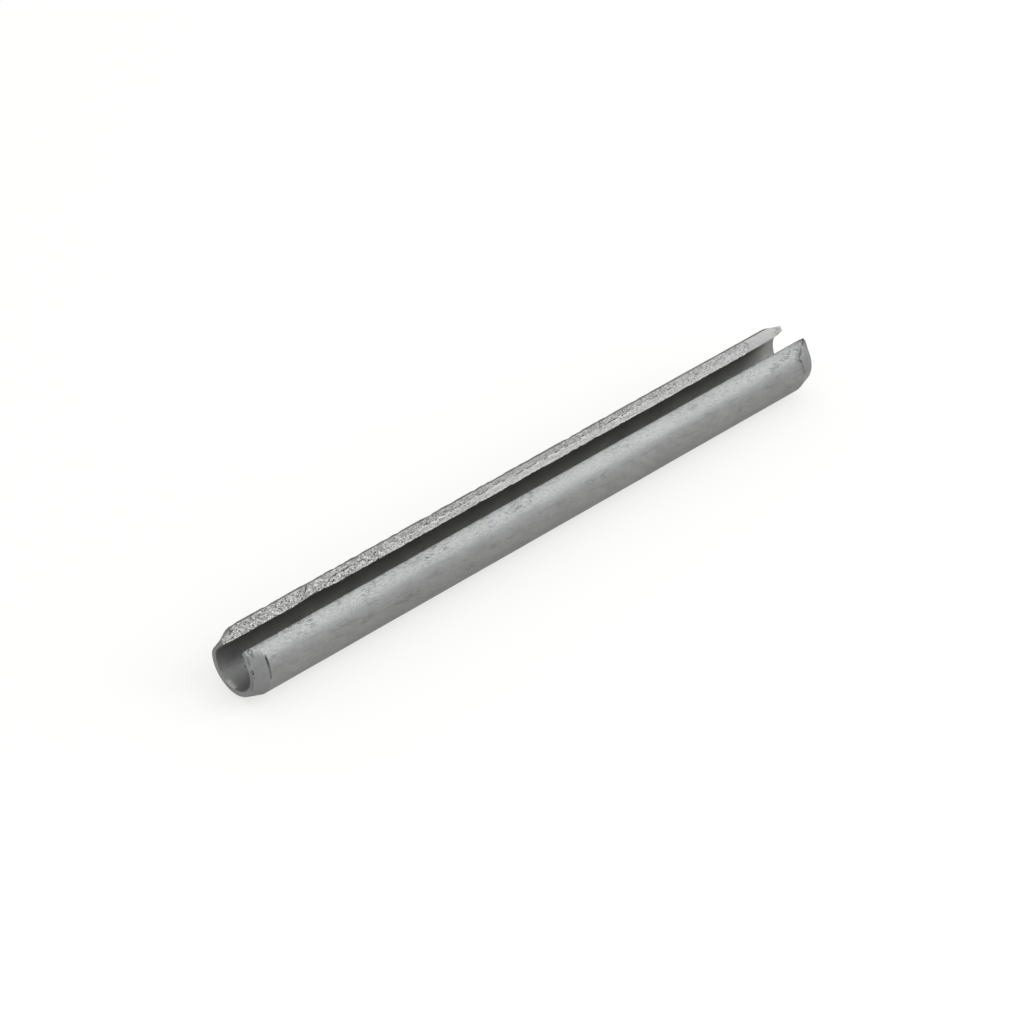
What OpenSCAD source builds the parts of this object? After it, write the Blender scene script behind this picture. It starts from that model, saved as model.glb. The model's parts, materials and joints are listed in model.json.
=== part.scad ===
// Slotted spring pin (roll pin): a strip of spring steel rolled into a tube that stays open
// along one side, so that it can be squeezed into a hole a little smaller than itself.
//
// Frame: the pin lies along X on the plane z = 0, with its open slot straight up.
// The origin is on that plane, under the middle of the pin.

/* [Tube] */
// Outside diameter while free, before it is driven into its hole
pin_d = 8.65; // [7.5:0.05:12]
// Overall length
pin_len = 90; // [20:1:200]
// Thickness of the strip
wall_t = 1.55; // [1:0.05:2.2]

/* [Slot] */
// Angle about the pin's axis between the strip's two cut edges, in degrees
slot_angle = 60; // [20:1:80]

/* [Ends] */
// Length of the chamfer that leads each end into the hole
chamfer_len = 1.95; // [0.5:0.05:4]
// How far the chamfer comes in from the outside at the end face
chamfer_depth = 0.62; // [0.2:0.02:0.68]
// Length over which the bore widens towards each end face
flare_len = 2.4; // [0.5:0.1:4]
// How much the bore's radius grows over that length
flare_depth = 0.24; // [0.1:0.02:0.3]

/* [Hidden] */

// Curve fineness of every round surface
$fn = 180;

outer_r = pin_d / 2;
inner_r = outer_r - wall_t;
half_len = pin_len / 2;

// How far a cutting shape reaches past what it cuts
cut_margin = 1;

// The wall cut along the pin's axis. The first coordinate is the distance from that axis,
// and the second runs along it from the middle of the pin.
module wall_outline() {
    polygon([
        [outer_r, chamfer_len - half_len],
        [outer_r, half_len - chamfer_len],
        [outer_r - chamfer_depth, half_len],
        [inner_r + flare_depth, half_len],
        [inner_r, half_len - flare_len],
        [inner_r, flare_len - half_len],
        [inner_r + flare_depth, -half_len],
        [outer_r - chamfer_depth, -half_len]
    ]);
}

// Wedge that opens the slot towards +X. Its two flat sides meet on the pin's axis, because
// the strip's edges are cut square across its thickness before it is rolled up.
module slot_wedge() {
    reach = outer_r + cut_margin;
    half_width = reach * tan(slot_angle / 2);
    translate([0, 0, -half_len - cut_margin])
        linear_extrude(pin_len + 2 * cut_margin)
            polygon([[0, 0], [reach, -half_width], [reach, half_width]]);
}

// The whole pin, turned on end about Z and then laid down along X with its slot up
module pin() {
    color("silver")
        translate([0, 0, outer_r])
            rotate([0, -90, 0])
                difference() {
                    rotate_extrude() wall_outline();
                    slot_wedge();
                }
}

pin();
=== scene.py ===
# %% [markdown]
# # A slotted spring pin
#
# A spring pin is a strip of steel rolled into a tube that never quite closes. This notebook
# dresses the plain solid of one pin with the marks that its making leaves on it: rough cut
# edges along the slot, a turned lead-in at each end, and a dull, scuffed skin.
#
# The solid comes from the frame, with its place and its size already right. Everything here
# is worked out from it, so the first cell loads it.

# %% Load the frame
import json
import math

import bpy
from mathutils import Matrix, Vector, noise


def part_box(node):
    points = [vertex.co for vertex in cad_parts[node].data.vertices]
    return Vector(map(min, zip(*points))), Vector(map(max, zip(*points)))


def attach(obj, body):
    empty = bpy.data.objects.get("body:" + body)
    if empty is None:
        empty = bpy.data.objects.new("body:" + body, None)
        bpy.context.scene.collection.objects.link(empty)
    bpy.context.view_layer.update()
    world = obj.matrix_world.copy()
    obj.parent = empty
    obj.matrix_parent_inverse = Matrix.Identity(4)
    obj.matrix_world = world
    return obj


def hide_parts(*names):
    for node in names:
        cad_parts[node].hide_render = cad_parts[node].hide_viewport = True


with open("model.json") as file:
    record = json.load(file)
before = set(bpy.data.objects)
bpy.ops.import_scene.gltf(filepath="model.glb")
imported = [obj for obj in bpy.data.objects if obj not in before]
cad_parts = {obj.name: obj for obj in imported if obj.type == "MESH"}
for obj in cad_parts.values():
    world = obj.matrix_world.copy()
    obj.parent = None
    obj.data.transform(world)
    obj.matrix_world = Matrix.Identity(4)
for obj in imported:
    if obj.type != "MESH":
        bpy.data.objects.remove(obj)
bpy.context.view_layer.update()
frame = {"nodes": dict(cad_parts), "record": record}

# %% [markdown]
# ## The pin's own measures
#
# A small turned part is easier to think of in millimetres, and Blender works in metres. So
# every length below is in millimetres until a mesh is made, and `MM` turns it into metres.
#
# The record says how thick the pin is outside and inside, and how long each plain stretch
# is. What is left over at the ends is the chamfer outside and the flare inside, where the
# bore widens a little. The solid itself gives the rest: how wide the end face is, and how
# far the slot opens.

# %% Read the measures
MM = 0.001
mounts = {mount["name"]: mount["dims"] for mount in frame["record"]["mounts"]}
low, high = (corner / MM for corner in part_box("pin"))

outer_r = mounts["outside"]["r_mm"]
bore_r = mounts["inside"]["r_mm"]
wall = outer_r - bore_r
length = high.x - low.x
chamfer_len = (length - mounts["outside"]["length_mm"]) / 2
flare_len = (length - mounts["inside"]["length_mm"]) / 2

solid_points = [vertex.co / MM for vertex in frame["nodes"]["pin"].data.vertices]
end_radii = [
    math.hypot(point.y, point.z - outer_r)
    for point in solid_points
    if point.x < low.x + 0.001
]
end_outer_r, end_inner_r = max(end_radii), min(end_radii)
slot_half = math.acos((high.z - outer_r) / outer_r)
strip_width = outer_r * (2 * math.pi - 2 * slot_half)
print(f"{length:.1f} mm long, {2 * outer_r:.2f} mm across, wall {wall:.2f} mm")
print(f"chamfer {chamfer_len:.2f} mm, slot {math.degrees(2 * slot_half):.1f} degrees")

# %% [markdown]
# ## A strip as a lattice
#
# The real pin was a flat strip before it was rolled, and that is the easiest way to describe
# it. Any point of its skin has three numbers: how far along the pin it is, how far round
# from the front cut edge, and how deep under the outside. The six sides of that flat block
# are the outside, the bore, the two cut edges and the two end faces.
#
# A modelled cylinder with a boolean slot would have long thin faces that can't be roughened.
# A lattice of our own has small faces everywhere. They are smaller still near each corner,
# where the eye looks for wear, and over the first third of the length, where the cut edges
# are torn.

# %% Where the lattice has its stations
def run(start, stop, step):
    """Evenly spaced stations from start up to, but not including, stop."""
    count = max(1, round((stop - start) / step))
    return [start + (stop - start) * n / count for n in range(count)]


def from_both_ends(near_end, middle, total):
    """Stations for one end, then the middle, then the same end again backwards."""
    return near_end + middle + [total - place for place in reversed(near_end)]


CORNER = 0.1
corner_run = run(0, CORNER, CORNER / 4)

# Along the pin: the chamfer, a close-set stretch where it meets the skin, and three stretches
# of the middle that grow coarser as the cut edges grow smoother.
groove_start, groove_stop = chamfer_len - 0.2, chamfer_len + 0.3
end_zone = 3.4
torn_stop, grained_stop = 31, 66
end_run = corner_run + run(CORNER, groove_start, 0.16)
end_run += run(groove_start, groove_stop, 0.05) + run(groove_stop, end_zone, 0.16)
middle_run = run(end_zone, torn_stop, 0.135) + run(torn_stop, grained_stop, 0.2)
middle_run += run(grained_stop, length - end_zone, 0.28) + [length - end_zone]
along = from_both_ends(end_run, middle_run, length)

# Round the pin: each lip, and the plain rest. Through the wall: evenly, but for the corners.
lip_zone, lip_edge = 2.2, 0.7
lip_run = corner_run + run(CORNER, lip_edge, 0.12) + run(lip_edge, lip_zone, 0.25)
plain_run = run(lip_zone, strip_width - lip_zone, 0.5) + [strip_width - lip_zone]
round_strip = from_both_ends(lip_run, plain_run, strip_width)
through = from_both_ends(corner_run + [CORNER], run(CORNER + 0.11, wall - CORNER, 0.12), wall)
print("stations along, round and through:", len(along), len(round_strip), len(through))

# %% [markdown]
# ## Rounding the corners
#
# Nothing that was sheared, rolled and tumbled has a knife edge. A Bevel modifier would round
# the corners too, but it cuts new faces of its own, and the roughness added afterwards needs
# to know which point belongs to which side. So each corner is rounded by moving the lattice:
# points near it slide onto a quarter circle. The front lip and the end faces were rubbed most.
# The back lip, and the corners between the cut edges and the bore, are half as round.

# %% Round a corner
def onto_the_arc(distance, radius):
    """How far a point slides along its own side, and how far it sinks below it."""
    turn = math.pi / 4 * (1 - distance / radius)
    return radius * (1 - math.sin(turn)) - distance, radius * (1 - math.cos(turn))


SIDES = ("outside", "bore", "cut", "end")
BACK_CORNERS = {
    ("outside", "cut"): CORNER / 2,
    ("bore", "cut"): CORNER / 2,
    ("end", "cut"): CORNER / 2,
    ("end", "outside"): CORNER,
    ("end", "bore"): CORNER,
}
FRONT_CORNERS = {**BACK_CORNERS, ("outside", "cut"): CORNER}


def rounding(gap, corners):
    """How far each side is pushed in by the corners, for a point this far from the sides."""
    shift = dict.fromkeys(SIDES, 0.0)
    for (one, other), radius in corners.items():
        if gap[one] == 0 and gap[other] == 0:
            at_corner = onto_the_arc(0, radius)[0]
            shift[one] += at_corner
            shift[other] += at_corner
        elif gap[one] == 0 and gap[other] < radius:
            slide, sink = onto_the_arc(gap[other], radius)
            shift[other] += slide
            shift[one] += sink
        elif gap[other] == 0 and gap[one] < radius:
            slide, sink = onto_the_arc(gap[one], radius)
            shift[one] += slide
            shift[other] += sink
    return shift


# %% [markdown]
# ## What the making leaves on each side
#
# The strip was slit by shears. Along the first third the blades tore the metal, and left a
# coarse, pitted face. Further on they cut cleaner, in two fine-grained bands with a broken
# line between them, where the crack started. The last few millimetres were cut at another
# stroke and are nearly smooth.
#
# Each side gets its own small function, which says how far a point of that side has sunk.
# Most wear takes metal away. Metal is added in a few places only: where the front lip sprang
# out from the chamfer, at the far tip of the back lip, in a slight swelling beside that lip,
# and in a thin burr along the bore's corners. All of it stays inside the solid's box.
#
# Noise from `mathutils` is the same in every run, so the pin is the same too. Each kind of
# wear reads it with its own seed, and the back edge and the far end read it some way off, so
# that no two of them match.

# %% Small tools for wear
SEED_STEP = 17.3


def lumps(place, size, seed):
    """Smooth noise from about -1 to 1, whose lumps are this many millimetres across."""
    return noise.noise(place / size + Vector((0, 0, SEED_STEP * seed)))


def fade(value, start, stop):
    """0 before start, 1 after stop, and a smooth rise between. It falls if stop is first."""
    share = min(1, max(0, (value - start) / (stop - start)))
    return share * share * (3 - 2 * share)


def hump(value, middle, reach):
    """1 at the middle, 0 at this reach to either side of it, and smooth between."""
    return 1 - fade(abs(value - middle), 0, reach)


# %% The cut edges
CRACK_SHARE = 0.4
LAST_STROKE = 5.8
BACK_EDGE_NOISE = 40


def torn(x):
    """How badly the shears tore the edge: 1 at the left end, falling along the pin."""
    return fade(x, 46, 14) * 0.75 + fade(x, 72, 40) * 0.25


def sheared(x, s, t):
    """How far a cut edge has sunk here."""
    place = Vector((x, BACK_EDGE_NOISE if s > strip_width / 2 else 0, t))
    crack = CRACK_SHARE * wall + 0.09 * lumps(place, 5, 1) + 0.1 * lumps(place, 1.1, 3)
    coarse = 0.02 + 0.04 * lumps(place, 0.42, 2)
    pits = 0.10 * max(0, lumps(place, 0.55, 4) - 0.3)
    fine = 0.008 + (0.01 + 0.014 * hump(x, 57, 16)) * lumps(place, 0.45, 5)
    groove = 0.05 * hump(t, crack, 0.15) * max(0, 0.1 + 1.8 * lumps(place, 1.1, 6))
    groove *= fade(x, 17, 22) * fade(x, 72, 66)
    chipped = 0.05 * hump(t, wall, 0.3) * max(0, lumps(place, 1.1, 7))
    stroke = fade(x, length - LAST_STROKE, length - LAST_STROKE - 0.3)
    return torn(x) * (max(0, coarse) + pits) + stroke * (max(0, fine) + groove) + chipped


# %% The ragged corner between a cut edge and the bore
BITE = (13.6, 3.6)


def ragged(x, s):
    """How far the bore has come up at a cut edge. Below 0, the metal hangs down as a burr."""
    back = s > strip_width / 2
    place = Vector((x, BACK_EDGE_NOISE if back else 0, 9))
    teeth = 0.14 * max(0, lumps(place, 0.45, 8)) + 0.06 * max(0, lumps(place, 2.6, 9))
    bite = 0.2 * hump(x, *BITE) if back else 0
    broken = (teeth - 0.045) * fade(x, length - LAST_STROKE, length - LAST_STROKE - 1) + bite
    return broken * hump(min(s, strip_width - s), 0, 0.45)


# %% The two radii along the pin
def outer_edge(from_end):
    """Radius of the outside, this far from the nearer end."""
    return outer_r - (outer_r - end_outer_r) * max(0, 1 - from_end / chamfer_len)


def inner_edge(from_end):
    """Radius of the bore, this far from the nearer end."""
    return bore_r + (end_inner_r - bore_r) * max(0, 1 - from_end / flare_len)


def sprung(x, s):
    """How far the wall stands out at an end: the front lip, and the back lip's far tip."""
    from_end = min(x, length - x)
    share = fade(s, 1.8, 0.4) * (0.75 + 0.25 * fade(from_end, 0.2, 1))
    lip = (outer_r - outer_edge(from_end)) * share
    if x < length / 2:
        return lip
    far_tip = 0.1 * hump(from_end, 0.2, 0.7) * hump(s, strip_width, 0.8)
    return lip * 0.75 + far_tip


def flattened(x, s, t):
    """How far the wall was knocked in beside the back lip, at the left end."""
    from_lip = strip_width - s
    deep = t / wall
    outside = 0.4 * fade(from_lip, 4.6, 2.4) * (0.4 + 0.6 * fade(from_lip, 0, 0.8))
    inside = 0.24 * fade(from_lip, 4, 2) * (0.4 + 0.6 * fade(from_lip, 0, 1))
    return (outside * (1 - deep) + inside * deep) * fade(x, 2.6, 0.6)


# %% The skin, the bore and the ends
def waves(x, s, depth, seed):
    """The slight unevenness of a rolled and tumbled skin, always inwards."""
    flats = lumps(Vector((x / 9, s / 2.8, 0)), 1, seed)
    small = lumps(Vector((x, s, 0)), 2.2, seed + 1)
    return depth * (1 + 0.7 * flats + 0.3 * small)


MARK_START, MARK_STOP = 1.7, 4.7
MARK_X = chamfer_len + 0.12
FAR_END_NOISE = 50


def skin(x, s):
    """How far the outside has sunk here: waves, a tool mark and two worn lips."""
    from_back_lip = strip_width - s
    sunk = waves(x, s, 0.02, 10)
    mark = fade(s, MARK_START - 0.3, MARK_START + 0.3) * fade(s, MARK_STOP, 3)
    sunk += 0.08 * mark * hump(x, MARK_X, 0.14)
    place = Vector((x, 0.6 * s, 0))
    uneven = 0.2 * max(0, lumps(place, 0.8, 12)) + 0.14 * max(0, lumps(place, 2.6, 13))
    sunk += uneven * hump(from_back_lip, 0.9, 1.5) * (0.2 + 0.8 * fade(x, 70, 50))
    sunk -= 0.045 * hump(from_back_lip, 1.2, 1.0)
    nibbled = 0.14 * max(0, lumps(Vector((x, 0, 0)), 0.7, 14) - 0.05)
    sunk += nibbled * hump(s, 0, 0.5) * (0.3 + 0.7 * fade(x, 60, 30))
    return sunk


def turned(x, s, t):
    """How far an end face has sunk here. It is chipped at the far tip of the back lip."""
    place = Vector((0 if x < length / 2 else FAR_END_NOISE, s, t))
    sunk = 0.008 * (1 + lumps(place, 1.3, 15))
    if x > length / 2:
        sunk += 0.05 * hump(s, strip_width, 1.1) * fade(t, wall * 0.75, 0)
    return sunk


# %% Place the lattice's points
WEAR_REACH = 0.35


def near(gap):
    """How much a side's wear reaches a point that is this far below it."""
    return 1 - fade(gap, 0, WEAR_REACH)


def point_at(x, s, t):
    """The place of the point x along, s round and t deep."""
    gap = {
        "outside": t,
        "bore": wall - t,
        "cut": min(s, strip_width - s),
        "end": min(x, length - x),
    }
    shift = rounding(gap, FRONT_CORNERS if s < strip_width / 2 else BACK_CORNERS)
    shift["outside"] += skin(x, s) * near(gap["outside"])
    shift["bore"] += (waves(x, s, 0.015, 20) + ragged(x, s)) * near(gap["bore"])
    shift["cut"] += sheared(x, s, t) * near(gap["cut"])
    shift["end"] += turned(x, s, t) * near(gap["end"])

    from_end = gap["end"] + shift["end"]
    from_cut = gap["cut"] + shift["cut"]
    deep = (t + shift["outside"] - shift["bore"]) / wall
    radius = outer_edge(gap["end"]) * (1 - deep) + inner_edge(gap["end"]) * deep
    radius += sprung(x, s) - flattened(x, s, t)
    angle = slot_half + from_cut / outer_r
    if s > strip_width / 2:
        angle = 2 * math.pi - angle
    if x > length / 2:
        from_end = length - from_end
    return Vector((
        from_end - length / 2,
        -radius * math.sin(angle),
        outer_r + radius * math.cos(angle),
    ))


# %% Build the shell of the lattice
def lattice_shell(name):
    """The pin's mesh, the side that each face is on, and the strip's numbers per point."""
    last = (len(along) - 1, len(round_strip) - 1, len(through) - 1)
    index, points, numbers = {}, [], []
    faces, sides = [], []

    def corner(i, j, k):
        if (i, j, k) not in index:
            index[i, j, k] = len(points)
            numbers.append((along[i], round_strip[j], through[k]))
            points.append(point_at(*numbers[-1]) * MM)
        return index[i, j, k]

    def sheet(side, rows, columns, at):
        for row in range(rows):
            for column in range(columns):
                steps = ((0, 0), (1, 0), (1, 1), (0, 1))
                faces.append([corner(*at(row + a, column + b)) for a, b in steps])
                sides.append(side)

    sheet("outside", last[0], last[1], lambda a, b: (a, b, 0))
    sheet("bore", last[1], last[0], lambda a, b: (b, a, last[2]))
    sheet("cut", last[2], last[0], lambda a, b: (b, 0, a))
    sheet("cut", last[0], last[2], lambda a, b: (a, last[1], b))
    sheet("end", last[1], last[2], lambda a, b: (0, a, b))
    sheet("end", last[2], last[1], lambda a, b: (last[0], b, a))
    mesh = bpy.data.meshes.new(name)
    mesh.from_pydata(points, [], faces)
    return mesh, sides, numbers


pin_mesh, sides, numbers = lattice_shell("spring_pin")
pin_mesh.shade_smooth()
pin = bpy.data.objects.new("spring_pin", pin_mesh)
bpy.context.collection.objects.link(pin)
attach(pin, "root")
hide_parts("pin")
print("triangles:", 2 * len(pin_mesh.polygons))

# %% [markdown]
# ## The strip's numbers, for the finishes
#
# A finish needs to know where on the strip it is: the torn part of an edge, or the ring of a
# chamfer. An unwrapped UV map could say so, but only in two numbers of no real size. So each
# point keeps its three numbers in an attribute, in millimetres, and every finish reads them.

# %% Store along, round and deep
strip_mm = pin_mesh.attributes.new("strip_mm", "FLOAT_VECTOR", "POINT")
strip_mm.data.foreach_set("vector", [value for point in numbers for value in point])
print("points that know their place on the strip:", len(numbers))

# %% [markdown]
# ## Finishes as sums
#
# A finish is a small network of nodes, and a network drawn by hand is hard to read as text.
# Here a wire stands for one output of a node, and sums of wires add the Math nodes that
# work them out. So a mask reads like the formula that it is. Every other node comes from
# `node`, which takes the node's type, its settings and what goes into its sockets.

# %% A wire
class Wire:
    """One output of a node, or a bench to start from. Sums of wires become Math nodes."""

    def __init__(self, tree, socket=None):
        self.tree = tree
        self.socket = socket

    def node(self, kind, settings=None, inputs=None, output=0):
        """A new node, with its settings made first. Inputs are values or wires, by name."""
        made = self.tree.nodes.new(kind)
        for name, value in (settings or {}).items():
            setattr(made, name, value)
        sockets = {socket.identifier: socket for socket in made.inputs}
        for name, value in (inputs or {}).items():
            if isinstance(value, Wire):
                self.tree.links.new(value.socket, sockets[name])
            else:
                sockets[name].default_value = value
        return Wire(self.tree, made.outputs[output] if made.outputs else None)

    def other(self, output):
        """Another output of the same node."""
        return Wire(self.tree, self.socket.node.outputs[output])

    def maths(self, operation, first, second=0.0):
        settings = {"operation": operation}
        return self.node("ShaderNodeMath", settings, {"Value": first, "Value_001": second})

    def __add__(self, value):
        return self.maths("ADD", self, value)

    def __radd__(self, value):
        return self.maths("ADD", value, self)

    def __sub__(self, value):
        return self.maths("SUBTRACT", self, value)

    def __rsub__(self, value):
        return self.maths("SUBTRACT", value, self)

    def __mul__(self, value):
        return self.maths("MULTIPLY", self, value)

    def __rmul__(self, value):
        return self.maths("MULTIPLY", value, self)

    def __truediv__(self, value):
        return self.maths("DIVIDE", self, value)

    def __abs__(self):
        return self.maths("ABSOLUTE", self)


# %% Words for the finishes
def rise(value, start, stop):
    """A mask: 0 before start, 1 after stop, and smooth between."""
    settings = {"interpolation_type": "SMOOTHSTEP"}
    inputs = {"Value": value, "From Min": start, "From Max": stop}
    return value.node("ShaderNodeMapRange", settings, inputs)


def fall(value, start, stop):
    """A mask: 1 before start, 0 after stop, and smooth between."""
    return 1 - rise(value, start, stop)


def grain(place, size, detail=2.0):
    """Noise from 0 to 1, mostly near a half, whose grains are this size in millimetres."""
    inputs = {"Vector": place, "Scale": 1 / size, "Detail": detail}
    return place.node("ShaderNodeTexNoise", {}, inputs)


# %% Streaks, scratches and single marks
def stretched(strip, length_mm, width_mm, turn):
    """The strip's place, squeezed so that grains become streaks at this turn, in degrees."""
    lie, cross = math.cos(math.radians(turn)), math.sin(math.radians(turn))
    run_along = (strip.along * lie + strip.around * cross) / length_mm
    run_across = (strip.around * lie - strip.along * cross) / width_mm
    return run_along.node("ShaderNodeCombineXYZ", {}, {"X": run_along, "Y": run_across, "Z": turn})


def scratches(strip, length_mm, width_mm, turn, keep=0.64):
    """A mask of short scratches that lie at this turn."""
    return rise(grain(stretched(strip, length_mm, width_mm, turn), 1, 1.0), keep, keep + 0.08)


def marks(strip, places, squeeze=(1, 1, 1)):
    """A mask of single marks, each given by its place along, around and deep, and its reach."""
    scaled = {"Vector": strip.place, "Vector_001": squeeze}
    place = strip.place.node("ShaderNodeVectorMath", {"operation": "MULTIPLY"}, scaled)
    total = strip.along * 0
    for *middle, reach in places:
        middle = [value * share for value, share in zip(middle, squeeze)]
        inputs = {"Vector": place, "Vector_001": middle}
        away = place.node("ShaderNodeVectorMath", {"operation": "DISTANCE"}, inputs, "Value")
        total = total + fall(away, 0.2 * reach, reach)
    return total


# %% Where a finish is
class Strip:
    """Where on the strip a finish is: along, around and deep, in millimetres."""

    def __init__(self, bench):
        self.place = bench.node("ShaderNodeAttribute", {"attribute_name": "strip_mm"}, {}, "Vector")
        parts = bench.node("ShaderNodeSeparateXYZ", {}, {"Vector": self.place})
        self.along = parts.other("X")
        self.around = parts.other("Y")
        self.deep = parts.other("Z")


# %% [markdown]
# ## Steel
#
# All four finishes are the same steel, so one function makes the shader and each finish only
# says how light, how rough and how uneven it is. Bare steel reflects about a quarter to a
# half of the light in every colour alike, and it has no colour of its own under that.
#
# Rough steel also stops shining at a glancing angle, because its bumps hide each other. The
# shader's specular tint sets how bright a metal is at that angle, and is kept low here.

# %% Make steel
GLANCING = (0.62, 0.62, 0.62, 1)


def steel(name, bench, shade, roughness, height, tint):
    """Join a finish's tint, shade, roughness and height in millimetres into a metal."""
    scaled = {"Vector": tint, "Scale": shade}
    colour = bench.node("ShaderNodeVectorMath", {"operation": "SCALE"}, scaled)
    relief = bench.node("ShaderNodeBump", {}, {"Height": height, "Distance": MM}, "Normal")
    inputs = {
        "Base Color": colour,
        "Metallic": 1.0,
        "Roughness": roughness,
        "Specular Tint": GLANCING,
        "Normal": relief,
    }
    shader = bench.node("ShaderNodeBsdfPrincipled", {}, inputs)
    bench.node("ShaderNodeOutputMaterial", {}, {"Surface": shader})
    print(name, "has", len(bench.tree.nodes), "nodes")


def blend(share, first, second):
    """A colour between two others: the first where the share is 0, the second where it is 1."""
    inputs = {"Factor_Float": share, "A_Color": (*first, 1), "B_Color": (*second, 1)}
    return share.node("ShaderNodeMix", {"data_type": "RGBA"}, inputs, 2)


def bare_bench(name):
    """A new material with nothing in it, and a bench to build it on."""
    material = bpy.data.materials.new(name)
    material.use_nodes = True
    material.node_tree.nodes.clear()
    return material, Wire(material.node_tree)


# %% [markdown]
# ## The rolled skin
#
# After it is hardened the pin is tumbled with others until it is dull. That leaves soft
# clouds where the skin was rubbed more or less, a fine mottle, short scratches at several
# angles and a few dark nicks. Near the front lip the skin was bent hardest, and it is
# speckled there. The dents that stand out are placed one by one.

# %% Dents on the skin, by their place and their reach
DENTS = (
    (3.0, 2.2, 0, 0.5),
    (2.6, 3.8, 0, 0.4),
    (13.1, 2.8, 0, 0.8),
    (16.6, 3.9, 0, 1.0),
    (22.4, 4.2, 0, 0.9),
    (24.2, 4.0, 0, 0.9),
    (25.8, 0.7, 0, 0.6),
    (32.4, 4.8, 0, 0.9),
    (36.6, 3.8, 0, 0.8),
    (38.6, 4.0, 0, 0.7),
    (40.9, 0.9, 0, 0.9),
    (52.2, 2.6, 0, 0.8),
    (54.5, 2.7, 0, 0.8),
    (70.1, 0.8, 0, 0.8),
    (74.4, 4.5, 0, 0.7),
    (77.2, 4.4, 0, 0.6),
    (83.6, 1.5, 0, 0.7),
    (83.8, 2.6, 0, 0.5),
    (85.5, 5.3, 0, 0.8),
    (85.9, 6.6, 0, 0.6),
    (85.9, 1.2, 0, 0.6),
    (86.9, 0.5, 0, 0.5),
)


# %% Where the far chamfer starts
def cone_delay(s, ramp):
    """How late the far chamfer begins here. The ramp is fade for numbers and rise for wires."""
    return 1.5 * ramp(s, 2.4, -0.3) - 0.35 * ramp(abs(s - 2.7), 2.2, 0)


def past_cone(strip):
    """How far past the start of the far chamfer, which begins late beside the front lip."""
    return strip.along - (length - chamfer_len) - cone_delay(strip.around, rise)


def patchy(strip):
    """A mask of patches about as wide as the far chamfer's marks."""
    return rise(grain(strip.place, 0.6), 0.38, 0.6)


def cone_line(strip):
    """A mask of the dark line where the far chamfer starts."""
    reach = rise(strip.around, 0.3, 0.6) * fall(strip.around, 2.2, 3.2)
    return fall(abs(past_cone(strip)), 0.05, 0.2) * reach * (0.6 + 0.4 * patchy(strip))


def before_cone(strip):
    """How dark the skin is just before the far chamfer."""
    reach = rise(strip.around, 1.1, 1.8) * fall(strip.around, 2.1, 3.0)
    return fall(abs(past_cone(strip) + 0.25), 0.1, 0.9) * reach * (0.7 + 0.6 * patchy(strip))


# %% Marks of the tools, and painted shade along the back lip
def tool_groove_shade(strip):
    """A mask of the tool's groove where the near chamfer ends, darkened as painted shade."""
    from_line = abs(strip.along - MARK_X)
    begins = rise(strip.around, MARK_START - 0.2, MARK_START + 0.2)
    thick = fall(from_line, 0.1, 0.24) * fall(strip.around, 2.3, 3.4)
    thin = fall(from_line, 0.05, 0.16) * fall(strip.around, MARK_STOP - 0.1, MARK_STOP + 0.1)
    return begins * (0.35 * thick + 0.65 * thin)


def painted_lip_shade(strip):
    """A mask of painted shade: a dark, broken line along the back lip's corner."""
    from_lip = strip_width - strip.around
    dashes = rise(grain(stretched(strip, 1.6, 0.5, 0), 1, 2.0), 0.38, 0.62)
    worst = 0.55 + 0.45 * fall(strip.along, 60, 72)
    return rise(from_lip, 0, 0.4) * fall(from_lip, 0.5, 1.6) * (0.5 + 0.5 * dashes) * worst


def far_tip(strip):
    """A mask of the dark corner at the far tip of the front lip."""
    return rise(strip.along, length - 1.5, length - 0.9) * fall(strip.around, 0.12, 0.4)


def speckle(strip, lip, patches):
    """A mask of short dark dashes beside the front lip, fewest a little past the middle."""
    dashes = scratches(strip, 1.1, 0.17, 5, 0.58) + scratches(strip, 0.9, 0.15, -16, 0.58)
    dashes = dashes + scratches(strip, 1.2, 0.18, 27, 0.58)
    fewer = 1.3 - 0.65 * fall(abs(strip.along - 57), 8, 18)
    return dashes * lip * (0.45 + 0.45 * patches) * fewer


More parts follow.
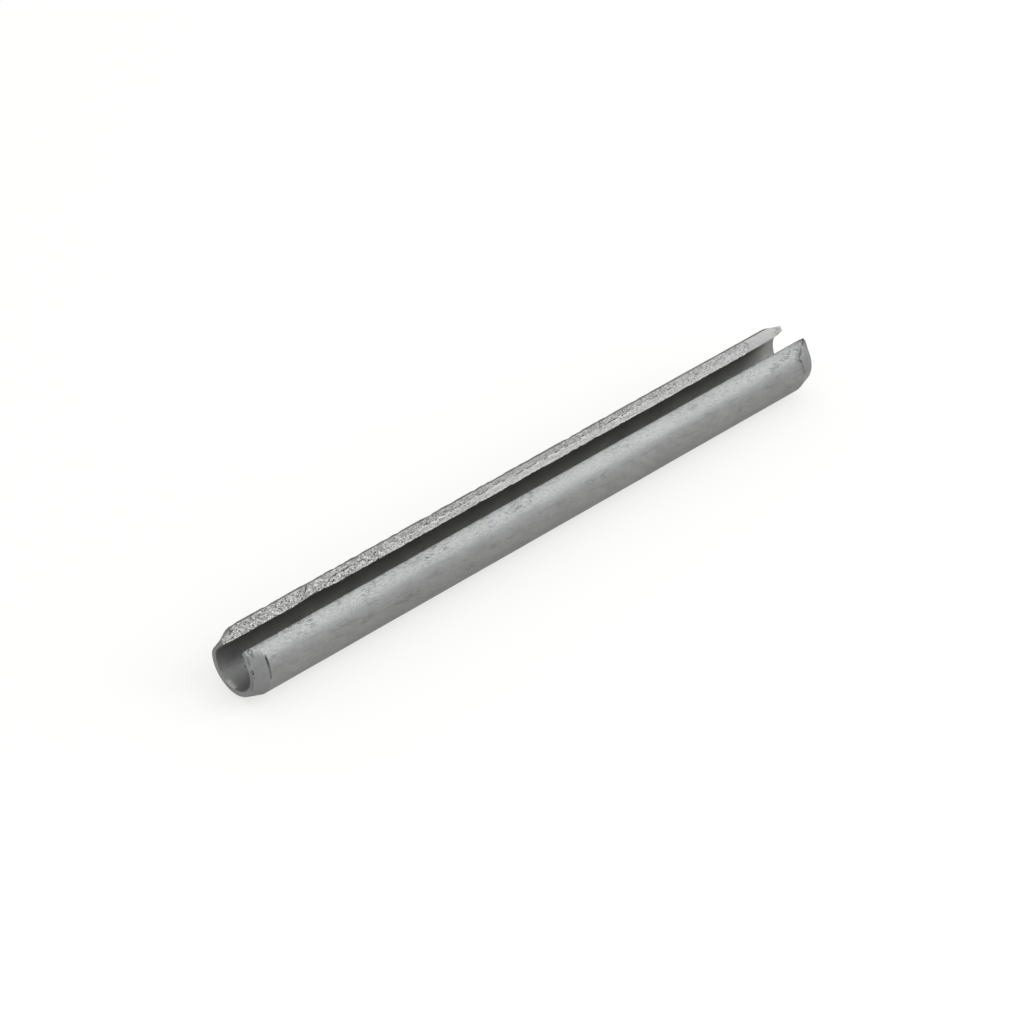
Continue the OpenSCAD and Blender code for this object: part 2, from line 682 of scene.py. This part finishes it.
# %% Skin finish
def rolled_skin():
    material, bench = bare_bench("rolled_skin")
    strip = Strip(bench)
    lip = fall(strip.around, 0.9, 2.7)
    tone = grain(strip.place, 11, 1.0) - 0.5
    clouds = grain(strip.place, 3.0) - 0.5
    mottle = (grain(strip.place, 0.8, 3.0) - 0.5) * (0.6 + 0.35 * lip)
    fine = (grain(strip.place, 0.25, 1.0) - 0.5) * (0.4 + 0.7 * lip)
    drifts = (grain(stretched(strip, 3.5, 0.8, 33), 1, 2.0) - 0.5) * rise(strip.around, 0.8, 3)

    rubbed = scratches(strip, 2.4, 0.14, 24) + scratches(strip, 1.8, 0.13, -38)
    rubbed = rubbed + scratches(strip, 1.4, 0.13, -64)
    patches = rise(grain(strip.place, 5, 1.0), 0.42, 0.58)
    shoulder = rise(strip.around, 1.6, 2.4) * fall(strip.around, 3.6, 5.2)
    smudges = scratches(strip, 3.2, 0.5, 4, 0.58) * shoulder
    far_end = rise(strip.along, length - 3.0, length - 2.1) * fall(strip.around, 3.4, 4.6)
    nicks = rise(grain(strip.place, 0.4, 2.0), 0.5, 0.7) * (0.35 * lip * patches + 0.6 * far_end)
    dents = marks(strip, DENTS, (0.6, 1.3, 1))
    dents = dents * rise(grain(stretched(strip, 1.0, 0.3, 20), 1, 2.0), 0.36, 0.62)

    shade = 0.272 + 0.05 * tone + 0.07 * clouds + 0.11 * mottle + 0.12 * fine + 0.06 * drifts
    # Painted light: the skin is a little lighter towards its left end. The rubbed scratches are
    # lighter as well.
    shade = shade + 0.012 * fall(strip.along, 9, 15) + 0.02 * rubbed
    shade = shade - 0.07 * speckle(strip, lip, patches) - 0.03 * smudges
    shade = shade - 0.09 * nicks - 0.06 * dents - 0.02 * far_end
    # Painted shade: the skin beside the front lip is darker over the first two millimetres of the
    # left end, next to the chamfer.
    shade = shade - 0.05 * fall(strip.along, 1.2, 2.0) * fall(strip.around, 0.5, 1.2)
    shade = shade - 0.09 * far_tip(strip) - 0.08 * cone_line(strip) - 0.09 * before_cone(strip)
    # Painted shade: darker along the back lip's corner, and in the tool mark's groove.
    shade = shade * (1 - 0.8 * tool_groove_shade(strip)) * (1 - 0.5 * painted_lip_shade(strip))

    roughness = 0.47 + 0.1 * clouds + 0.15 * mottle - 0.04 * rubbed + 0.1 * nicks
    height = 0.012 * mottle + 0.006 * fine - 0.003 * rubbed - 0.015 * nicks - 0.01 * dents
    # Painted light colour: the skin is tinted a little cooler near the front lip, where the softbox
    # shines, and warmer further round.
    cast = blend(rise(strip.around, 1, 5), (0.99, 1.0, 1.003), (0.995, 1.0, 0.985))
    steel("rolled skin", bench, shade, roughness, height, cast)
    return material


# %% [markdown]
# ## The bore
#
# Nothing in the tumbler reaches the inside, so it keeps the scale of the furnace, which is
# rougher than the skin and a little warmer. It looks dark because little light finds its way
# in, so its own shade is no darker than the skin's. Near each mouth it is painted darker, and
# lighter or darker from place to place round the left mouth: painted shade and light. One spot
# by the left rim is lighter, partly a rubbed patch and partly a painted highlight.

# %% Bore finish
def scaled_bore():
    material, bench = bare_bench("scaled_bore")
    strip = Strip(bench)
    clouds = grain(strip.place, 2.5) - 0.5
    mottle = grain(strip.place, 0.5, 3.0) - 0.5
    near_mouth = fall(strip.along, 1.5, 6)
    far_mouth = rise(strip.along, length - 8.5, length - 4.5)
    # Painted shade and light: darker near each mouth, and lighter or darker round the left mouth.
    shade = 0.37 + 0.12 * clouds + 0.10 * mottle - 0.065 * near_mouth - 0.11 * far_mouth
    under = fall(abs(strip.around - 13.2), 1, 2.5) - 2 * fall(strip.around, 9, 12)
    shade = shade + (0.015 * under - 0.05 * rise(strip.around, 14.5, 17)) * near_mouth
    shade = shade - 0.03 * fall(strip.around, 3, 8) * near_mouth
    shade = shade - 0.17 * marks(strip, ((3.2, 13.7, wall, 0.5),))
    # A lighter spot by the left rim: partly a rubbed patch, partly a painted highlight.
    rubbed_patch_and_highlight = fall(strip.along, 0.2, 0.8) * fall(abs(strip.around - 12.2), 0.6, 1.5)
    shade = shade + rubbed_patch_and_highlight * (0.29 + 0.5 * (grain(strip.place, 0.3, 2.0) - 0.5))
    roughness = 0.5 + 0.1 * clouds + 0.12 * near_mouth
    height = 0.02 * mottle
    cast = blend(near_mouth, (1, 1.01, 0.97), (0.99, 1.0, 0.99))
    steel("scaled bore", bench, shade, roughness, height, cast)
    return material


# %% [markdown]
# ## The sheared edges
#
# Fresh torn steel is lighter than the skin, but its pits are dark. The lattice already holds
# the larger pits. The finish adds the finer ones, two long splits near the left end, and the
# broken dark line where the crack started. It grows calmer along the pin, as the mesh does.

# %% Where things are on a cut edge
def past_crack(strip):
    """How deep under the start of the crack a place is. The crack wanders along the pin."""
    only_along = strip.along.node("ShaderNodeCombineXYZ", {}, {"X": strip.along})
    wander = grain(only_along, 4.0, 1.0) - 0.5
    shiver = grain(only_along, 0.9, 1.0) - 0.5
    return strip.deep - (CRACK_SHARE * wall + 0.3 * wander + 0.2 * shiver)


def past_stroke(strip):
    """How far past the end of the last stroke a place is. That end is bowed and uneven."""
    from_middle = strip.deep / wall - 0.45
    hook = 0.12 * (grain(strip.place, 0.5, 1.0) - 0.5)
    return strip.along + 2.8 * from_middle * from_middle + hook - (length - LAST_STROKE)


def splits(strip, coarse):
    """Masks of the two long splits near the left end, and of the calmer metal beside them."""
    middle = (0.4 + 0.32 * fall(strip.along, 15.2, 16.8)) * wall
    from_arch = abs(strip.deep - middle + 0.1 * coarse)
    near_arch = rise(strip.along, 15, 15.6) * fall(strip.along, 19, 20.5)
    from_zigzag = abs(strip.along - 13.0 + 0.6 * strip.deep + 1.2 * coarse)
    split = fall(from_arch, 0.04, 0.1) * near_arch + fall(from_zigzag, 0.04, 0.12)
    return split, fall(from_arch, 0.12, 0.4) * near_arch + fall(from_zigzag, 0.12, 0.4)


# %% Holes in a cut edge
HOLES = ((1.5, strip_width, 0.4, 0.45), (12.9, strip_width, 0.1, 0.35))


def dimples(strip, apart):
    """A mask of small round pits on a cut edge, about this many millimetres apart."""
    flat = strip.along.node("ShaderNodeCombineXYZ", {}, {"X": strip.along, "Y": strip.deep})
    settings = {"voronoi_dimensions": "2D", "feature": "F1"}
    inputs = {"Vector": flat, "Scale": 1 / apart, "Randomness": 0.85}
    away = flat.node("ShaderNodeTexVoronoi", settings, inputs, "Distance")
    return fall(away, 0.1, 0.36) * rise(grain(strip.place, 0.9), 0.36, 0.58)


# %% Sheared finish
def sheared_edge():
    material, bench = bare_bench("sheared_edge")
    strip = Strip(bench)
    coarse = grain(strip.place, 0.34, 2.0) - 0.5
    fine = grain(strip.place, 0.16, 1.0) - 0.5

    worst = fall(strip.along, 20, 50)
    roughest = fall(strip.along, 14, 34)
    plucked = rise(strip.along, 47, 55)
    two_toned = (1 - roughest) * fall(strip.along, 62, 76)
    from_crack = past_crack(strip)
    below = rise(from_crack, -0.1, 0.12)
    even_top = (1 - below) * fall(abs(strip.along - 20), 8, 14)
    split, beside_split = splits(strip, coarse)
    calm = 1 - 0.8 * beside_split
    uneven = (0.4 + 0.8 * worst + 0.2 * roughest + 0.25 * plucked) * calm
    uneven = uneven * (1.1 + (0.15 - 0.5 * below) * two_toned)

    pits = 0.15 + 0.75 * worst + 0.2 * roughest + 0.25 * plucked
    pits = pits * rise(grain(strip.place, 0.26, 1.0), 0.55, 0.65) * (1 - 0.5 * even_top)
    fissures = fall(abs(grain(strip.place, 0.9, 2.0) - 0.5), 0.006, 0.022) * worst
    broken = rise(grain(stretched(strip, 1.0, 0.4, 0), 1, 2.0), 0.48, 0.6)
    line = fall(abs(from_crack), 0.03, 0.11) * broken
    line = line * rise(strip.along, 17, 23) * fall(strip.along, 60, 88)
    holes = 1.5 * dimples(strip, 0.5) * worst * calm
    holes = holes * (1 - 0.6 * (1 - below) * fall(strip.along, 28, 34))
    holes = holes + marks(strip, HOLES)
    # Painted shade: a broken dark line along the cut edge's outer corner, where the rounding turns
    # away from the light.
    painted_corner_shade = rise(grain(stretched(strip, 2.2, 1, 0), 1, 1.0), 0.45, 0.6)
    painted_corner_shade = painted_corner_shade * fall(strip.deep, 0.02, 0.12)

    bottom = rise(strip.deep, 0.75 * wall, 0.95 * wall) * (1 - 0.5 * roughest)
    shade = 0.36 + 0.08 * below + 0.11 * worst + 0.12 * bottom + 0.02 * roughest
    shade = shade + two_toned * (0.035 * below - 0.018)
    shade = shade + (0.34 * coarse * (1 - 0.6 * even_top) + 0.5 * fine) * uneven
    shade = shade - 0.22 * pits - 0.16 * line - 0.12 * fissures - 0.28 * split - 0.16 * holes

    stroke_end = past_stroke(strip)
    clean = rise(stroke_end, -0.08, 0.08)
    tip = rise(strip.along, length - 2.2, length - 1)
    smooth = 0.392 + 0.1 * coarse + 0.1 * fine * fall(strip.deep, 0.3, 0.9)
    smooth = smooth + tip * (0.4 * coarse - 0.06)
    shade = shade * (1 - clean) + smooth * clean - 0.14 * fall(abs(stroke_end), 0.04, 0.2)
    shade = shade - 0.06 * painted_corner_shade - 0.014 * even_top

    roughness = 0.5 + 0.1 * worst
    height = (0.035 * coarse + 0.02 * fine) * uneven - 0.04 * pits - 0.03 * line - 0.02 * fissures
    height = height * (1 - 0.9 * clean)
    cast = blend(fall(abs(strip.along - 55), 14, 26), (1.012, 1.0, 1.0), (1.012, 1.0, 0.98))
    steel("sheared edge", bench, shade, roughness, height, cast)
    return material


# %% [markdown]
# ## The turned ends
#
# The chamfers and end faces were cut on a lathe, so their marks run round the pin: rings so
# fine that they only just catch the light. They were tumbled with the rest and are as dull.
# The marks that stand out are where the tool met the skin: short dashes along the near rim,
# and dark spots where the far chamfer starts.

# %% Along the near rim
RIM_DASHES = ((0.7, 1.9, 0.55), (2.6, 3.3, 1.0), (3.6, 3.85, 0.6))


def rim_dashes(strip):
    """A mask of short dark lines along the near rim, from their starts, stops and strengths."""
    total = strip.along * 0
    for start, stop, strength in RIM_DASHES:
        begun = rise(strip.around, start - 0.1, start + 0.1)
        total = total + strength * begun * fall(strip.around, stop - 0.1, stop + 0.1)
    return total * fall(abs(strip.along - 0.12), 0.05, 0.16) * fall(strip.deep, 0.05, 0.2)


def rim_light_and_shade(strip):
    """How much lighter or darker the near rim is painted from place to place: painted light and
    shade.
    """
    tone = 0.02 * fall(abs(strip.around - 13), 5, 7) - 0.03 * rise(strip.around, 20.5, 21.5)
    tone = tone - 0.035 * fall(abs(strip.around - 5.4), 0.6, 1.6)
    tone = tone + 0.03 * fall(abs(strip.around - 2.25), 0.1, 0.5)
    return tone * fall(strip.along, 0.02, 0.1)


# %% Along the start of the far chamfer
def cone_spots(strip):
    """A mask of the dark spots where the far chamfer starts."""
    past = past_cone(strip)
    start = rise(past, -0.3, 0) * fall(past, 0.1, 0.5) * fall(strip.around, 3.6, 4.8)
    return rise(grain(strip.place, 0.6, 2.0), 0.4, 0.62) * start


def cone_shadow(strip):
    """How dark the far chamfer is beside the front lip and along its start."""
    past = past_cone(strip)
    beside_lip = rise(past, 0, 0.2) * fall(strip.around, 0.4, 1.1)
    further_on = rise(past, 0, 0.9) * fall(strip.around, 1.8, 3.5)
    band = fall(abs(past - 0.15), 0.1, 0.4) * rise(strip.around, 1.5, 2.1)
    band = band * fall(strip.around, 4.2, 5) * rise(grain(strip.place, 0.7), 0.35, 0.6)
    return 0.17 * beside_lip + 0.045 * further_on + 0.08 * band + 0.08 * cone_line(strip)


# %% Turned finish
def turned_end():
    material, bench = bare_bench("turned_end")
    strip = Strip(bench)
    stretch = {"X": strip.along / 0.2, "Y": strip.around / 7, "Z": strip.deep / 0.2}
    rings = grain(bench.node("ShaderNodeCombineXYZ", {}, stretch), 1, 1.0) - 0.5
    clouds = grain(strip.place, 1.4) - 0.5
    rim = fall(strip.along, 0.02, 0.1) + rise(strip.along, length - 0.1, length - 0.02)
    lip = fall(strip.around, 0.5, 1.5) * rise(strip.along, 0.2, 0.5) * fall(strip.along, 0.9, 1.3)
    burr = rise(grain(strip.place, 0.3, 2.0), 0.42, 0.62)
    spots = cone_spots(strip)
    coarse = grain(strip.place, 0.3, 2.0) - 0.5
    torn_tip = fall(strip_width - strip.around, 0.5, 1.6) * fall(strip.along, 0.8, 2.2)
    scuffed = fall(abs(strip.around - 14), 0.8, 2.2) * fall(strip.along, 0.2, 0.5)
    # Painted light and shade: the chamfers are lighter on the side nearer the front lip and darker
    # further round, where less light falls.
    painted_side_light = 0.044 * (fall(strip.around, 1.4, 4) - 0.5)
    far = rise(strip.along, length - 2.2, length - 1.8)
    shade = 0.267 + (0.07 + 0.1 * far) * rings + 0.10 * clouds - 0.005 * rim + painted_side_light
    # The far chamfer is a little lighter, and lighter still far round from the front lip, where it
    # is a painted highlight.
    shade = shade + far * (0.015 + 0.06 * rise(strip.around, 4.2, 5.2))
    shade = shade + lip * (0.22 * burr - 0.15) + rim_light_and_shade(strip) - 0.16 * rim_dashes(strip)
    shade = shade + torn_tip * (0.02 + 0.6 * coarse) + scuffed * (0.5 * coarse + 0.02)
    shade = shade - cone_shadow(strip) - 0.09 * spots
    # Painted shade: the back lip's dark corner line runs on over the near chamfer, and the tool
    # mark's groove is darkened.
    painted_corner_shade = 0.5 * painted_lip_shade(strip) * rise(strip.along, 1.4, 1.8)
    shade = shade * (1 - 0.8 * tool_groove_shade(strip)) * (1 - painted_corner_shade)
    roughness = 0.45 + 0.1 * clouds
    height = 0.006 * rings + 0.03 * lip * burr - 0.02 * spots
    height = height + 0.02 * coarse * (torn_tip + scuffed)
    steel("turned end", bench, shade, roughness, height, (0.985, 1.0, 0.995))
    return material


# %% Give each face its finish
FINISHES = (rolled_skin, scaled_bore, sheared_edge, turned_end)
for make in FINISHES:
    pin_mesh.materials.append(make())


def cone_length(x, s):
    """How long the nearer chamfer is here. Both are shorter beside the front lip."""
    if x < length / 2:
        return chamfer_len - 0.75 * fade(s, 1.7, 0.6)
    return chamfer_len - cone_delay(s, fade)


def finish_of(side, x, s):
    """Which finish a face has, from its side and its place along and round the pin."""
    if side == "cut":
        return sheared_edge
    if side == "bore":
        return scaled_bore
    if side == "outside" and min(x, length - x) > cone_length(x, s):
        return rolled_skin
    return turned_end


for face, side in zip(pin_mesh.polygons, sides):
    around_face = [numbers[point] for point in face.vertices]
    x, s = (sum(point[n] for point in around_face) / len(around_face) for n in (0, 1))
    face.material_index = FINISHES.index(finish_of(side, x, s))
print("faces by finish:", [
    sum(face.material_index == n for face in pin_mesh.polygons) for n in range(len(FINISHES))
])

# %% [markdown]
# ## The floor
#
# The pin lies on white paper. Paper that is only painted white still darkens away from the
# lamps, so what the camera sees of it is partly a plain glow. The rest is ordinary paper,
# which keeps a soft shadow under the pin. Reflections see the same floor as the camera.

# %% Lay the floor
HALF_FLOOR = 3.0
GLOW_SHARE = 0.65


def paper_floor():
    """A white floor that glows a little where the camera and reflections see it."""
    corners = [(x * HALF_FLOOR, y * HALF_FLOOR, 0) for x, y in ((-1, -1), (1, -1), (1, 1), (-1, 1))]
    mesh = bpy.data.meshes.new("floor")
    mesh.from_pydata(corners, [], [(0, 1, 2, 3)])
    floor = bpy.data.objects.new("floor", mesh)
    bpy.context.collection.objects.link(floor)
    material, bench = bare_bench("paper")
    ray = bench.node("ShaderNodeLightPath", output="Is Camera Ray")
    seen = ray + ray.other("Is Glossy Ray") + ray.other("Is Transmission Ray")
    paper = bench.node("ShaderNodeBsdfDiffuse", {}, {"Color": (0.95, 0.95, 0.94, 1)})
    glow = bench.node("ShaderNodeEmission", {}, {"Color": (1, 1, 0.99, 1), "Strength": 1.0})
    inputs = {"Fac": GLOW_SHARE * seen, "Shader": paper, "Shader_001": glow}
    shader = bench.node("ShaderNodeMixShader", {}, inputs)
    bench.node("ShaderNodeOutputMaterial", {}, {"Surface": shader})
    mesh.materials.append(material)
    return floor


paper_floor()
print("floor:", 2 * HALF_FLOOR, "m square")

# %% [markdown]
# ## Light
#
# A round metal thing shows whatever stands around it, so it is lit by large pale surfaces
# and not by points. One softbox stands in front, to the right, and draws the broad bright
# band along the pin. The pale room does the rest.
#
# Area lamps are set in watts, which say little about how bright they look. Here each
# softbox is given the brightness of its face, where 1 is the brightness of white paper.

# %% Set the lights
def softbox(name, towards, distance, width, height, brightness, colour):
    """A lamp in this direction from the pin, facing it. Sizes are in metres."""
    lamp = bpy.data.lights.new(name, "AREA")
    lamp.shape = "RECTANGLE"
    lamp.size, lamp.size_y = width, height
    lamp.energy = brightness * math.pi * width * height
    lamp.color = colour
    box = bpy.data.objects.new(name, lamp)
    direction = Vector(towards).normalized()
    box.location = direction * distance
    box.rotation_euler = direction.to_track_quat("Z", "Y").to_euler()
    bpy.context.collection.objects.link(box)
    print(name, "gives", round(lamp.energy, 2), "W")


softbox("key_softbox", (0.55, -0.58, 0.60), 1.1, 0.76, 0.96, 2.4, (0.965, 0.99, 0.985))
room = bpy.data.worlds.new("room")
bpy.context.scene.world = room
room.use_nodes = True
room.node_tree.nodes["Background"].inputs["Color"].default_value = (0.88, 0.89, 0.875, 1)

# %% [markdown]
# ## The camera
#
# A long lens from half a metre away keeps the pin's sides almost parallel. The camera looks
# down at a steep angle from the left end, so that it sees the bore, one cut edge of the slot
# and the skin in front of it.

# %% Aim the camera
TURN, TILT = math.radians(42.74), math.radians(37.55)
LENS = 154
DISTANCE = 519.0
ASIDE, ABOVE = -1.48, -0.99


def aim_camera():
    """Look at the pin's middle, then step aside and up so that it lies as framed."""
    forward = Vector((
        math.sin(TURN) * math.cos(TILT),
        math.cos(TURN) * math.cos(TILT),
        -math.sin(TILT),
    ))
    right = Vector((math.cos(TURN), -math.sin(TURN), 0))
    up = right.cross(forward)
    camera = bpy.data.objects.new("camera", bpy.data.cameras.new("camera"))
    camera.data.lens = LENS
    middle = Vector((0, 0, outer_r))
    camera.location = (middle - forward * DISTANCE + right * ASIDE + up * ABOVE) * MM
    camera.rotation_euler = Matrix((right, up, -forward)).transposed().to_euler()
    bpy.context.collection.objects.link(camera)
    bpy.context.scene.camera = camera


aim_camera()
bpy.context.scene.view_settings.view_transform = "Standard"
print("camera sees the pin from", DISTANCE, "mm away")
